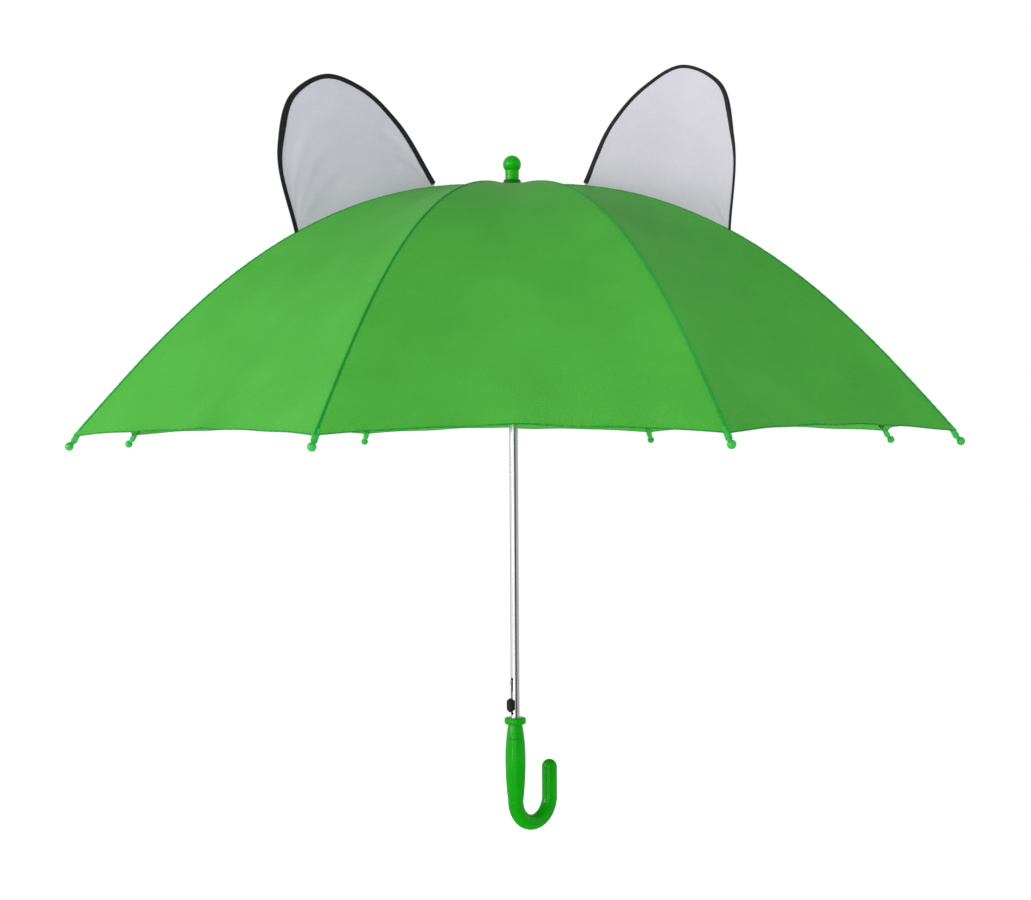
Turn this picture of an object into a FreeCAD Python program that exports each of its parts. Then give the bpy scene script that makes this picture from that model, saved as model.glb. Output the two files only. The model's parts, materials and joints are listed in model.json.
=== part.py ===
import FreeCAD, Part
import math
import os

# A children's stick umbrella, open, with a push button. Millimetres and degrees.
# Z runs up the shaft and the origin is the middle of the grip. Headings turn from +X towards +Y.

# Ribs: each starts at its hinge on the top notch and droops more and more towards its tip.
RIB_COUNT = 8
FIRST_HEADING = -66.5
RIB_LENGTH = 478.0
RIB_START_DROOP = -4.0
RIB_EXTRA_DROOP = 53.0
RIB_ARCS = 6
RIB_WIDTH = 3.2
RIB_HEIGHT = 2.4
RIB_WALL = 0.5
RIB_SPIGOT_RADIUS = 1.0
RIB_SPIGOT_LENGTH = 3.0
TONGUE_LENGTH = 7.0
TONGUE_THICKNESS = 1.2
EYE_RADIUS = 1.6

# Linkage: a stretcher is as long as the rib from its hinge to the rivet, so its hub slides straight.
RIVET_STATION = 209.0
CLOSED_ANGLE = 19.5
STRUT_STATION = 40.0
STRUT_LENGTH = 72.0
STRETCHER_WIDTH = 3.0
STRETCHER_HEIGHT = 2.2
STRUT_WIDTH = 2.6
STRUT_HEIGHT = 1.8
FORK_ROOM = 4.3
FORK_BRIDGE = 3.0
FORK_CHEEK = 0.6
FORK_SIDE_GAP = 0.15
FORK_HEIGHT = 2.4
RIVET_RADIUS = 0.7
RIVET_HEAD_RADIUS = 1.2
RIVET_HEAD_HEIGHT = 0.4

# Shaft and fits.
SHAFT_RADIUS = 4.0
SHAFT_WALL = 0.6
RUNNING_CLEARANCE = 0.05
SHAFT_IN_GRIP = 15.0
SHAFT_IN_FINIAL = 12.0
DIMPLE_ABOVE_GRIP = 123.5
DIMPLE_RADIUS = 1.2
DIMPLE_DEPTH = 0.25
DIMPLE_HEADING = 244.0

# Notch, stretcher hub and runner: slotted discs, each with a wire ring that the arms hinge on.
SLOT_FLOOR_WALL = 1.2
SLOT_FLOOR_GAP = 0.2
SLOT_SIDE_GAP = 0.2
DISC_RIM = 0.9
DISC_OVER_EYE = 1.0
WIRE_RADIUS = 0.6
WIRE_SEAT_GAP = 0.02
HUB_SLEEVE_WALL = 1.0
HUB_SLEEVE_LENGTH = 6.0
RUNNER_SLEEVE_WALL = 2.0
RUNNER_SLEEVE_LENGTH = 46.6
HUB_STOP_WALL = 1.2
HUB_STOP_HEIGHT = 2.4
HUB_STOP_GAP = 0.2

# Opening spring, between the hub and the runner.
SPRING_SLEEVE_GAP = 0.2
SPRING_WIRE_RADIUS = 0.4
SPRING_TURNS = 9
SPRING_END_GAP = 0.4

# Canopy cloth, in eight gores, each centred on its rib.
CLOTH_THICKNESS = 0.4
CLOTH_ABOVE_RIB = 1.4
CLOTH_JOIN_GAP = 0.3
PANEL_SAG = 9.0
SAG_SPAN = 650.0
HEM_RISE = 14.0
CLOTH_POINTS = 13

# Rib tips: a barrel, a neck and a ball.
TIP_GAP = 0.3
TIP_BARREL_RADIUS = 2.4
TIP_BARREL_LENGTH = 3.8
TIP_NECK_RADIUS = 1.9
TIP_BALL_RADIUS = 3.6
TIP_BALL_STATION = 9.0

# Crown cap and finial.
CAP_RADIUS = 9.45
CAP_TOP_RADIUS = 7.65
CAP_HEIGHT = 6.0
CAP_GAP = 0.23
FINIAL_NECK_RADIUS = 6.3
FINIAL_BALL_RADIUS = 8.35
FINIAL_BALL_ABOVE_CAP = 14.2

# Handle: a collar with a flange, and a grip that runs into a hook.
GRIP_RADIUS = 9.45
NECK_RADIUS = 6.8
NECK_ABOVE_GRIP = 31.0
FLANGE_RADIUS = 9.95
FLANGE_HEIGHT = 6.5
FLANGE_ROUND = 2.0
FLANGE_ABOVE_NECK = 1.5
PARTING_ABOVE_GRIP = 19.4
PARTING_GROOVE = 0.5
HOOK_ROD_RADIUS = 7.2
HOOK_BEND_RADIUS = 22.5
BEND_BELOW_GRIP = 38.5
HOOK_HEADING = 45.0
HOOK_END_BELOW_GRIP = 4.5

# Push button and the catch that it works, on the side away from the hook.
BUTTON_ABOVE_COLLAR = 5.0
BUTTON_HEIGHT = 13.0
BUTTON_WIDTH = 7.0
BUTTON_PROUD = 4.4
BUTTON_SHAFT_GAP = 0.25
BUTTON_POINT = 2.5
BUTTON_BEVEL = 0.8
BUTTON_OVER_TRAVEL = 0.2
BUTTON_BELOW_RUNNER = 2.0
CATCH_WIDTH = 2.4
CATCH_SLOT_SIDE = 0.3
CATCH_SLOT_END = 2.5
LEAF_THICKNESS = 0.5
LEAF_GAP = 0.15
NOSE_PROUD = 1.2
NOSE_HEIGHT = 10.0
NOSE_ABOVE_RUNNER_FOOT = 4.0
KEYWAY_SIDE = 0.5
KEYWAY_DEPTH_GAP = 0.2
WINDOW_END_GAP = 1.3

# Ears, stood up in the seams over two ribs, and their edging.
EAR_RIBS = {"right": 2, "left": 7}
EAR_THICKNESS = 1.2
EAR_EDGING_WIDTH = 4.0
EAR_EDGING_THICKNESS = 2.4
EAR_ABOVE_CLOTH = 0.3
EAR_START_STATION = 68.0
EAR_END_STATION = 210.0
EAR_SHOULDER = (125.0, 76.0)
EAR_SHOULDER_BOW = 4.0
EAR_TOP = (172.0, 98.0)
EAR_CORNER = (206.0, 80.0)
EAR_OUTSIDE = (220.0, 34.0)

# Closure strap, laid on a back gore beside its seam.
STRAP_RIB = 5
STRAP_LENGTH = 120.0
STRAP_FROM_HEM = 38.0
STRAP_WIDTH = 18.0
STRAP_FROM_SEAM = 6.0
STRAP_THICKNESS = 0.8
STRAP_LIFT = 0.5
STRAP_POINTS = 5

# Cutting tools run this far past what they cut, and edges are picked to within the second value.
OVERCUT = 1.0
PICK = 0.01

# Sizes that follow from the ones above.
HALF_GORE = 180.0 / RIB_COUNT
SHAFT_BORE = SHAFT_RADIUS - SHAFT_WALL
SLOT_FLOOR_RADIUS = SHAFT_RADIUS + SLOT_FLOOR_WALL
HINGE_RADIUS = SLOT_FLOOR_RADIUS + SLOT_FLOOR_GAP + EYE_RADIUS
DISC_RADIUS = HINGE_RADIUS + EYE_RADIUS + DISC_RIM
DISC_HALF_HEIGHT = EYE_RADIUS + DISC_OVER_EYE
HUB_SLEEVE_RADIUS = SHAFT_RADIUS + HUB_SLEEVE_WALL
RUNNER_SLEEVE_RADIUS = SHAFT_RADIUS + RUNNER_SLEEVE_WALL
HUB_STOP_RADIUS = SHAFT_RADIUS + HUB_STOP_WALL
SPRING_RADIUS = HUB_SLEEVE_RADIUS + SPRING_SLEEVE_GAP + SPRING_WIRE_RADIUS
BUTTON_TRAVEL = NOSE_PROUD + BUTTON_OVER_TRAVEL
CATCH_SLOT_WIDTH = CATCH_WIDTH + 2 * CATCH_SLOT_SIDE
KEYWAY_WIDTH = CATCH_WIDTH + 2 * KEYWAY_SIDE
KEYWAY_RADIUS = SHAFT_RADIUS + NOSE_PROUD + KEYWAY_DEPTH_GAP
LEAF_OUTER = math.sqrt((SHAFT_BORE - LEAF_GAP) ** 2 - (CATCH_WIDTH / 2) ** 2)
STRAP_START = RIB_LENGTH - STRAP_FROM_HEM - STRAP_LENGTH
CLOTH_LIFT = RIB_HEIGHT / 2 + CLOTH_ABOVE_RIB
CLOTH_TOP_LIFT = CLOTH_LIFT + CLOTH_THICKNESS


def vec(x, y, z):
    return FreeCAD.Vector(x, y, z)


def rib_droop(station):
    """How far the rib points below level at a distance along it."""
    return RIB_START_DROOP + RIB_EXTRA_DROOP * math.sin(math.pi / 2 * station / RIB_LENGTH)


def rib_chain():
    """Ends of the rib's tangent arcs: station, radius and height from the shaft and hinge, droop."""
    step = RIB_LENGTH / RIB_ARCS
    chain = [(0.0, HINGE_RADIUS, 0.0, math.radians(rib_droop(0.0)))]
    for number in range(1, RIB_ARCS + 1):
        station, radius, height, before = chain[-1]
        after = math.radians(rib_droop(number * step))
        bend = step / (after - before)
        radius += bend * (math.sin(after) - math.sin(before))
        height += bend * (math.cos(after) - math.cos(before))
        chain.append((number * step, radius, height, after))
    return chain


CHAIN = rib_chain()


def rib_place(station, lift=0.0):
    """Radius, height and droop (radians) at a station, lifted square off the rib's centre line."""
    number = min(int(station / CHAIN[1][0]), RIB_ARCS - 1)
    start, radius, height, before = CHAIN[number]
    end, after = CHAIN[number + 1][0], CHAIN[number + 1][3]
    bend = (end - start) / (after - before)
    droop = before + (station - start) / bend
    radius += bend * (math.sin(droop) - math.sin(before))
    height += bend * (math.cos(droop) - math.cos(before))
    return radius + lift * math.sin(droop), height + lift * math.cos(droop), droop


# Heights, from the closed linkage down to the handle.
RIVET_OUT, RIVET_HEIGHT, _ = rib_place(RIVET_STATION)
ARM_LENGTH = math.hypot(RIVET_OUT - HINGE_RADIUS, RIVET_HEIGHT)
OPEN_ANGLE = math.degrees(math.atan2(RIVET_OUT - HINGE_RADIUS, -RIVET_HEIGHT))
FOLD_ANGLE = OPEN_ANGLE - CLOSED_ANGLE


def hub_drop(angle):
    """Hub hinge below the notch hinge, with the stretchers at an angle from the shaft."""
    return 2 * ARM_LENGTH * math.cos(math.radians(angle))


def runner_drop(angle):
    """Runner hinge below the hub hinge, from the triangle of stretcher, strut and shaft."""
    across = STRUT_STATION * math.sin(math.radians(angle))
    along = STRUT_STATION * math.cos(math.radians(angle))
    return math.sqrt(STRUT_LENGTH**2 - across**2) - along


def strut_angle(angle):
    """Strut from the shaft, in degrees."""
    return math.degrees(math.asin(STRUT_STATION * math.sin(math.radians(angle)) / STRUT_LENGTH))


def fork_length(bar, arm, angle):
    """How far a fork reaches so that its arm's bar clears the bar it straddles, at their least angle."""
    return (bar + arm) / 2 / math.sin(math.radians(angle)) + FORK_ROOM


STRETCHER_FORK_LENGTH = fork_length(RIB_HEIGHT, STRETCHER_HEIGHT, 2 * CLOSED_ANGLE)
STRUT_FORK_LENGTH = fork_length(STRETCHER_HEIGHT, STRUT_HEIGHT, CLOSED_ANGLE - strut_angle(CLOSED_ANGLE))
COLLAR_TOP = NECK_ABOVE_GRIP + FLANGE_ABOVE_NECK + FLANGE_HEIGHT
BUTTON_BOTTOM = COLLAR_TOP + BUTTON_ABOVE_COLLAR
BUTTON_TOP = BUTTON_BOTTOM + BUTTON_HEIGHT
RUNNER_FOOT_CLOSED = BUTTON_TOP + BUTTON_BELOW_RUNNER
RUNNER_CLOSED = RUNNER_FOOT_CLOSED + RUNNER_SLEEVE_LENGTH
NOTCH_HINGE = RUNNER_CLOSED + runner_drop(CLOSED_ANGLE) + hub_drop(CLOSED_ANGLE)
CROWN = NOTCH_HINGE + CLOTH_TOP_LIFT
HUB_HINGE = NOTCH_HINGE - hub_drop(OPEN_ANGLE)
RUNNER_HINGE = HUB_HINGE - runner_drop(OPEN_ANGLE)
CAP_BOTTOM = NOTCH_HINGE + rib_place(CAP_RADIUS - HINGE_RADIUS, CLOTH_TOP_LIFT)[1] + CAP_GAP
CAP_TOP = CAP_BOTTOM + CAP_HEIGHT
NOSE_BOTTOM = RUNNER_FOOT_CLOSED + NOSE_ABOVE_RUNNER_FOOT
NOSE_TOP = NOSE_BOTTOM + NOSE_HEIGHT


def heading_of(number):
    return FIRST_HEADING + (number - 1) * 360.0 / RIB_COUNT


def turned(shape, heading):
    """A shape drawn towards +X, turned to its heading about the shaft."""
    copy = shape.copy()
    copy.rotate(vec(0, 0, 0), vec(0, 0, 1), heading)
    return copy


def save(name, shape):
    shape.exportStep("parts/" + name + ".step")


def arc(start, middle, end):
    return Part.Arc(start, middle, end).toShape()


def line(start, end):
    return Part.LineSegment(start, end).toShape()


def plate(edges, thickness):
    """A closed outline in the XZ plane, made a plate of a thickness centred on that plane."""
    face = Part.Face(Part.Wire(Part.__sortEdges__(edges)))
    face.translate(vec(0, -thickness / 2, 0))
    return face.extrude(vec(0, thickness, 0))


def pole(radius, bottom, top):
    return Part.makeCylinder(radius, top - bottom, vec(0, 0, bottom))


def pipe(outer, inner, bottom, top):
    return pole(outer, bottom, top).cut(pole(inner, bottom - OVERCUT, top + OVERCUT))


def cross_pin(radius, length, x, z):
    """A pin across the XZ plane, centred on it."""
    return Part.makeCylinder(radius, length, vec(x, -length / 2, z), vec(0, 1, 0))


def box(x_from, x_to, width, z_from, z_to):
    """A block centred on the XZ plane."""
    return Part.makeBox(x_to - x_from, width, z_to - z_from, vec(x_from, -width / 2, z_from))


def rib_vec(station, lift=0.0):
    radius, height, _ = rib_place(station, lift)
    return vec(radius, 0, NOTCH_HINGE + height)


def rib_edges(start, end, lift):
    """The rib's line at a lift, from one station to another, as its tangent arcs."""
    joins = [start] + [c[0] for c in CHAIN if start < c[0] < end] + [end]
    edges = []
    for a, b in zip(joins, joins[1:]):
        edges.append(arc(rib_vec(a, lift), rib_vec((a + b) / 2, lift), rib_vec(b, lift)))
    return edges


def rib_bar(start, end, low, high, width):
    """A bar that follows the rib between two lifts."""
    ends = [line(rib_vec(start, low), rib_vec(start, high)), line(rib_vec(end, low), rib_vec(end, high))]
    return plate(rib_edges(start, end, low) + rib_edges(start, end, high) + ends, width)


def make_rib():
    """A steel channel, open below, with a flat tongue and eye at the notch and a spigot at the tip."""
    half = RIB_HEIGHT / 2
    bar = rib_bar(TONGUE_LENGTH, RIB_LENGTH, -half, half, RIB_WIDTH)
    channel_start = TONGUE_LENGTH + 2 * RIB_WALL
    channel_end = RIB_LENGTH - 2 * RIB_WALL
    inside = RIB_WIDTH - 2 * RIB_WALL
    hollow = rib_bar(channel_start, channel_end, -half - OVERCUT, half - RIB_WALL, inside)
    tongue = rib_bar(0.0, TONGUE_LENGTH + RIB_WALL, -half, half, TONGUE_THICKNESS)
    eye = cross_pin(EYE_RADIUS, TONGUE_THICKNESS, HINGE_RADIUS, NOTCH_HINGE)
    end, droop = rib_vec(RIB_LENGTH), CHAIN[-1][3]
    along = vec(math.cos(droop), 0, -math.sin(droop))
    start = end - along * RIB_WALL
    spigot = Part.makeCylinder(RIB_SPIGOT_RADIUS, RIB_SPIGOT_LENGTH + RIB_WALL, start, along)
    rib = bar.cut(hollow).fuse([tongue, eye, spigot])
    hinge_bore = WIRE_RADIUS + RUNNING_CLEARANCE
    rib = rib.cut(cross_pin(hinge_bore, 2 * RIB_WIDTH, HINGE_RADIUS, NOTCH_HINGE))
    rivet_bore = RIVET_RADIUS + RUNNING_CLEARANCE
    rivet = rib_vec(RIVET_STATION)
    return rib.cut(cross_pin(rivet_bore, 2 * RIB_WIDTH, rivet.x, rivet.z)).removeSplitter()


def make_rib_tip():
    """A moulded end piece, pushed on the rib's spigot: barrel, neck and ball."""
    end, droop = rib_vec(RIB_LENGTH), CHAIN[-1][3]
    along = vec(math.cos(droop), 0, -math.sin(droop))
    start = end + along * TIP_GAP
    barrel = Part.makeCylinder(TIP_BARREL_RADIUS, TIP_BARREL_LENGTH, start, along)
    neck = Part.makeCylinder(TIP_NECK_RADIUS, TIP_BALL_STATION - TIP_GAP, start, along)
    ball = Part.makeSphere(TIP_BALL_RADIUS, end + along * TIP_BALL_STATION)
    socket = Part.makeCylinder(RIB_SPIGOT_RADIUS, RIB_SPIGOT_LENGTH, end, along)
    return barrel.fuse([neck, ball]).cut(socket).removeSplitter()


def fork_arm(eye, pin, width, height, straddled, fork):
    """An arm from an inner end to a fork that straddles another bar, with its rivet.

    It is drawn level from the pin towards the inner end and turned into place.
    """
    reach = eye - pin
    length = reach.Length
    gap = straddled + 2 * FORK_SIDE_GAP
    outer = gap + 2 * FORK_CHEEK
    half = FORK_HEIGHT / 2
    head = box(0, fork + FORK_BRIDGE, outer, -half, half).fuse(cross_pin(half, outer, 0, 0))
    bar = box(fork + FORK_BRIDGE / 2, length - TONGUE_LENGTH, width, -height / 2, height / 2)
    arm = head.cut(box(-FORK_HEIGHT, fork, gap, -FORK_HEIGHT, FORK_HEIGHT)).fuse(bar)
    arm = arm.cut(cross_pin(RIVET_RADIUS, 2 * outer, 0, 0))
    rivet = cross_pin(RIVET_RADIUS, outer, 0, 0)
    for side in (-1, 1):
        foot = vec(0, side * outer / 2, 0)
        head = Part.makeCylinder(RIVET_HEAD_RADIUS, RIVET_HEAD_HEIGHT, foot, vec(0, side, 0))
        rivet = rivet.fuse(head)
    turn = -math.degrees(math.atan2(reach.z, reach.x))
    return arm, rivet, length, turn


def placed(shape, turn, pin):
    """Turns a shape about the Y axis and moves it to its pin."""
    shape.rotate(vec(0, 0, 0), vec(0, 1, 0), turn)
    shape.translate(pin)
    return shape


def make_stretcher():
    """The long arm: forked and riveted to the rib, with an eye on the hub's wire."""
    hub, rivet_at = vec(HINGE_RADIUS, 0, HUB_HINGE), rib_vec(RIVET_STATION)
    made = fork_arm(hub, rivet_at, STRETCHER_WIDTH, STRETCHER_HEIGHT, RIB_WIDTH, STRETCHER_FORK_LENGTH)
    arm, rivet, length, turn = made
    half = STRETCHER_HEIGHT / 2
    tongue = box(length - TONGUE_LENGTH - RIB_WALL, length, TONGUE_THICKNESS, -half, half)
    eye = cross_pin(EYE_RADIUS, TONGUE_THICKNESS, length, 0)
    arm = arm.fuse([tongue, eye])
    arm = arm.cut(cross_pin(WIRE_RADIUS + RUNNING_CLEARANCE, 2 * RIB_WIDTH, length, 0))
    strut_bore = cross_pin(RIVET_RADIUS + RUNNING_CLEARANCE, 2 * RIB_WIDTH, length - STRUT_STATION, 0)
    arm = arm.cut(strut_bore).removeSplitter()
    return Part.makeCompound([placed(arm, turn, rivet_at), placed(rivet, turn, rivet_at)])


def stretcher_point(distance):
    """A point on the stretcher's centre line, a distance out from the hub's hinge."""
    angle = math.radians(OPEN_ANGLE)
    return vec(HINGE_RADIUS + distance * math.sin(angle), 0, HUB_HINGE + distance * math.cos(angle))


def make_strut():
    """The short arm: forked and riveted to the stretcher, with an open saddle at the runner's wire."""
    runner, pin = vec(HINGE_RADIUS, 0, RUNNER_HINGE), stretcher_point(STRUT_STATION)
    made = fork_arm(runner, pin, STRUT_WIDTH, STRUT_HEIGHT, STRETCHER_WIDTH, STRUT_FORK_LENGTH)
    arm, rivet, length, turn = made
    half = STRUT_HEIGHT / 2
    tongue = box(length - TONGUE_LENGTH - RIB_WALL, length, TONGUE_THICKNESS, -half, half)
    saddle = cross_pin(WIRE_RADIUS + FORK_SIDE_GAP, 2 * RIB_WIDTH, length, 0)
    arm = arm.fuse(tongue).cut(saddle).removeSplitter()
    return Part.makeCompound([placed(arm, turn, pin), placed(rivet, turn, pin)])


def slotted_disc(hinge, bore, top):
    """A disc round the shaft with a slot for each arm and a groove for the wire ring."""
    disc = pipe(DISC_RADIUS, bore, hinge - DISC_HALF_HEIGHT, top)
    groove_half = WIRE_RADIUS + WIRE_SEAT_GAP
    groove_floor = HINGE_RADIUS - groove_half
    disc = disc.cut(pipe(DISC_RADIUS + OVERCUT, groove_floor, hinge - groove_half, hinge + groove_half))
    width = TONGUE_THICKNESS + 2 * SLOT_SIDE_GAP
    bottom = hinge - DISC_HALF_HEIGHT - OVERCUT
    slot = box(SLOT_FLOOR_RADIUS, DISC_RADIUS + OVERCUT, width, bottom, top + OVERCUT)
    return disc.cut([turned(slot, heading_of(n)) for n in range(1, RIB_COUNT + 1)])


def wire_ring(hinge):
    return Part.makeTorus(HINGE_RADIUS, WIRE_RADIUS, vec(0, 0, hinge), vec(0, 0, 1))


def make_notch():
    """Fixed to the shaft under the crown. Its top stays clear of the cloth."""
    return slotted_disc(NOTCH_HINGE, SHAFT_RADIUS, NOTCH_HINGE + EYE_RADIUS + SLOT_SIDE_GAP)


def make_hub():
    bore = SHAFT_RADIUS + RUNNING_CLEARANCE
    disc = slotted_disc(HUB_HINGE, bore, HUB_HINGE + DISC_HALF_HEIGHT)
    foot = HUB_HINGE - DISC_HALF_HEIGHT
    return disc.fuse(pipe(HUB_SLEEVE_RADIUS, bore, foot - HUB_SLEEVE_LENGTH, foot)).removeSplitter()


def make_runner():
    """A slotted disc on a long sleeve. A keyway and a window in the sleeve take the catch's nose."""
    bore = SHAFT_RADIUS + RUNNING_CLEARANCE
    disc = slotted_disc(RUNNER_HINGE, bore, RUNNER_HINGE + DISC_HALF_HEIGHT)
    foot = RUNNER_HINGE - RUNNER_SLEEVE_LENGTH
    sleeve = pipe(RUNNER_SLEEVE_RADIUS, bore, foot, RUNNER_HINGE - DISC_HALF_HEIGHT)
    nose_from = foot + NOSE_ABOVE_RUNNER_FOOT
    window_top = nose_from + NOSE_HEIGHT + WINDOW_END_GAP
    keyway = box(0, KEYWAY_RADIUS, KEYWAY_WIDTH, foot - OVERCUT, window_top)
    window = box(0, 2 * RUNNER_SLEEVE_RADIUS, KEYWAY_WIDTH, nose_from - WINDOW_END_GAP, window_top)
    cuts = [turned(shape, HOOK_HEADING + 180) for shape in (keyway, window)]
    return disc.fuse(sleeve).cut(cuts).removeSplitter()


def make_spring():
    """A coil round the shaft, from the runner's disc up to the hub's disc."""
    bottom = RUNNER_HINGE + DISC_HALF_HEIGHT + SPRING_END_GAP + SPRING_WIRE_RADIUS
    top = HUB_HINGE - DISC_HALF_HEIGHT - SPRING_END_GAP - SPRING_WIRE_RADIUS
    height = top - bottom
    helix = Part.makeHelix(height / SPRING_TURNS, height, SPRING_RADIUS)
    section = Part.Circle(vec(SPRING_RADIUS, 0, 0), vec(0, 1, 0), SPRING_WIRE_RADIUS).toShape()
    coil = Part.Wire(helix).makePipeShell([Part.Wire(section)], True, True)
    coil.translate(vec(0, 0, bottom))
    return coil


def make_shaft():
    """A steel tube, with a slot for the catch and button and a pressed dimple."""
    tube = pipe(SHAFT_RADIUS, SHAFT_BORE, -SHAFT_IN_GRIP, CROWN + SHAFT_IN_FINIAL)
    slot_top = NOSE_TOP + CATCH_SLOT_END
    slot = box(0, 2 * SHAFT_RADIUS, CATCH_SLOT_WIDTH, BUTTON_BOTTOM - CATCH_SLOT_END, slot_top)
    dimple_out = SHAFT_RADIUS + DIMPLE_RADIUS - DIMPLE_DEPTH
    dimple = Part.makeSphere(DIMPLE_RADIUS, vec(dimple_out, 0, DIMPLE_ABOVE_GRIP))
    return tube.cut([turned(slot, HOOK_HEADING + 180), turned(dimple, DIMPLE_HEADING)])


def make_hub_stop():
    """A crimped ring that stops the hub when the umbrella is open."""
    bottom = HUB_HINGE + DISC_HALF_HEIGHT + HUB_STOP_GAP
    return pipe(HUB_STOP_RADIUS, SHAFT_RADIUS, bottom, bottom + HUB_STOP_HEIGHT)


def make_button():
    """A six-sided key with a bevelled face and a stem through the shaft's slot.

    Its back is hollowed by the shaft as the key is pressed, so that it lands clear of the tube.
    """
    half, middle = BUTTON_WIDTH / 2, (BUTTON_BOTTOM + BUTTON_TOP) / 2
    straight = BUTTON_HEIGHT / 2 - BUTTON_POINT
    outline = [(-half, -straight), (0, -BUTTON_HEIGHT / 2), (half, -straight)]
    outline += [(half, straight), (0, BUTTON_HEIGHT / 2), (-half, straight)]
    points = [vec(0, y, middle + z) for y, z in outline]
    face = Part.Face(Part.makePolygon(points + points[:1]))
    inner = SHAFT_RADIUS + BUTTON_SHAFT_GAP
    low, high = BUTTON_BOTTOM - OVERCUT, BUTTON_TOP + OVERCUT
    pressed_on = pole(inner, low, high)
    pressed_on.translate(vec(BUTTON_TRAVEL, 0, 0))
    proud = SHAFT_RADIUS + BUTTON_PROUD
    key = face.extrude(vec(proud, 0, 0)).cut([pressed_on, box(0, BUTTON_TRAVEL, 2 * inner, low, high)])
    front = [edge for edge in key.Edges if edge.BoundBox.XMin > proud - PICK]
    key = key.makeChamfer(BUTTON_BEVEL, front)
    stem_half = BUTTON_HEIGHT / 2 - BUTTON_POINT
    stem = box(LEAF_OUTER, proud - BUTTON_BEVEL, CATCH_WIDTH, middle - stem_half, middle + stem_half)
    return key.fuse(stem).removeSplitter()


def make_catch():
    """A leaf inside the shaft, with a nose that stands out of the slot above the button."""
    leaf = box(LEAF_OUTER - LEAF_THICKNESS, LEAF_OUTER, CATCH_WIDTH, BUTTON_BOTTOM, NOSE_TOP)
    proud = SHAFT_RADIUS + NOSE_PROUD
    corners = [vec(LEAF_OUTER, 0, NOSE_TOP), vec(proud, 0, NOSE_TOP)]
    corners += [vec(proud, 0, NOSE_TOP - NOSE_PROUD), vec(LEAF_OUTER, 0, NOSE_BOTTOM)]
    nose = plate([line(a, b) for a, b in zip(corners, corners[1:] + corners[:1])], CATCH_WIDTH)
    return leaf.fuse(nose).removeSplitter()


def grip_radius(height):
    """Half the grip's width at a height: it falls away as the square of the distance from the middle."""
    if height > 0:
        return GRIP_RADIUS - (GRIP_RADIUS - NECK_RADIUS) * (height / NECK_ABOVE_GRIP) ** 2
    return GRIP_RADIUS - (GRIP_RADIUS - HOOK_ROD_RADIUS) * (height / BEND_BELOW_GRIP) ** 2


def grip_arc(low, high):
    """The grip's side between two heights, as one arc."""
    points = [vec(grip_radius(z), 0, z) for z in (low, (low + high) / 2, high)]
    return arc(*points)


def turned_solid(edges):
    """A solid of revolution about the shaft's axis."""
    face = Part.Face(Part.Wire(Part.__sortEdges__(edges)))
    return face.revolve(vec(0, 0, 0), vec(0, 0, 1), 360)


def make_collar():
    """The upper part of the handle: a rounded flange on a waist that widens to the parting line."""
    bottom = PARTING_ABOVE_GRIP
    flange_bottom = COLLAR_TOP - FLANGE_HEIGHT
    side = [grip_arc(bottom, NECK_ABOVE_GRIP)]
    side.append(line(vec(NECK_RADIUS, 0, NECK_ABOVE_GRIP), vec(NECK_RADIUS, 0, flange_bottom)))
    side.append(line(vec(NECK_RADIUS, 0, flange_bottom), vec(SHAFT_RADIUS, 0, flange_bottom)))
    side.append(line(vec(SHAFT_RADIUS, 0, flange_bottom), vec(SHAFT_RADIUS, 0, bottom)))
    side.append(line(vec(SHAFT_RADIUS, 0, bottom), vec(grip_radius(bottom), 0, bottom)))
    waist = turned_solid(side)
    flange = pipe(FLANGE_RADIUS, SHAFT_RADIUS, flange_bottom, COLLAR_TOP)
    rims = [e for e in flange.Edges if e.isClosed() and e.BoundBox.XMax > FLANGE_RADIUS - PICK]
    flange = flange.makeFillet(FLANGE_ROUND, rims)
    return waist.fuse(flange).removeSplitter()


def make_hook_handle():
    """The grip, the bend below it and the short leg back up, with a domed end."""
    top = PARTING_ABOVE_GRIP
    groove = top - PARTING_GROOVE
    side = [grip_arc(-BEND_BELOW_GRIP, 0.0), grip_arc(0.0, groove)]
    inner = grip_radius(groove) - PARTING_GROOVE
    side.append(line(vec(grip_radius(groove), 0, groove), vec(inner, 0, top)))
    side.append(line(vec(inner, 0, top), vec(0, 0, top)))
    side.append(line(vec(0, 0, top), vec(0, 0, -BEND_BELOW_GRIP)))
    side.append(line(vec(0, 0, -BEND_BELOW_GRIP), vec(HOOK_ROD_RADIUS, 0, -BEND_BELOW_GRIP)))
    grip = turned_solid(side)
    section = Part.Circle(vec(0, 0, -BEND_BELOW_GRIP), vec(0, 0, 1), HOOK_ROD_RADIUS).toShape()
    centre = vec(HOOK_BEND_RADIUS, 0, -BEND_BELOW_GRIP)
    bend = Part.Face(Part.Wire(section)).revolve(centre, vec(0, -1, 0), 180)
    leg_height = -HOOK_END_BELOW_GRIP - HOOK_ROD_RADIUS
    leg_top = vec(2 * HOOK_BEND_RADIUS, 0, leg_height)
    leg = pole(HOOK_ROD_RADIUS, -BEND_BELOW_GRIP, leg_height)
    leg.translate(vec(2 * HOOK_BEND_RADIUS, 0, 0))
    handle = grip.fuse([bend, leg, Part.makeSphere(HOOK_ROD_RADIUS, leg_top)])
    handle = handle.cut(pole(SHAFT_RADIUS, -SHAFT_IN_GRIP, top + OVERCUT)).removeSplitter()
    return turned(handle, HOOK_HEADING)


def make_cap():
    """A low cone over the middle of the cloth."""
    cone = Part.makeCone(CAP_RADIUS, CAP_TOP_RADIUS, CAP_HEIGHT, vec(0, 0, CAP_BOTTOM))
    return cone.cut(pole(SHAFT_RADIUS, CAP_BOTTOM - OVERCUT, CAP_TOP + OVERCUT))


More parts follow.
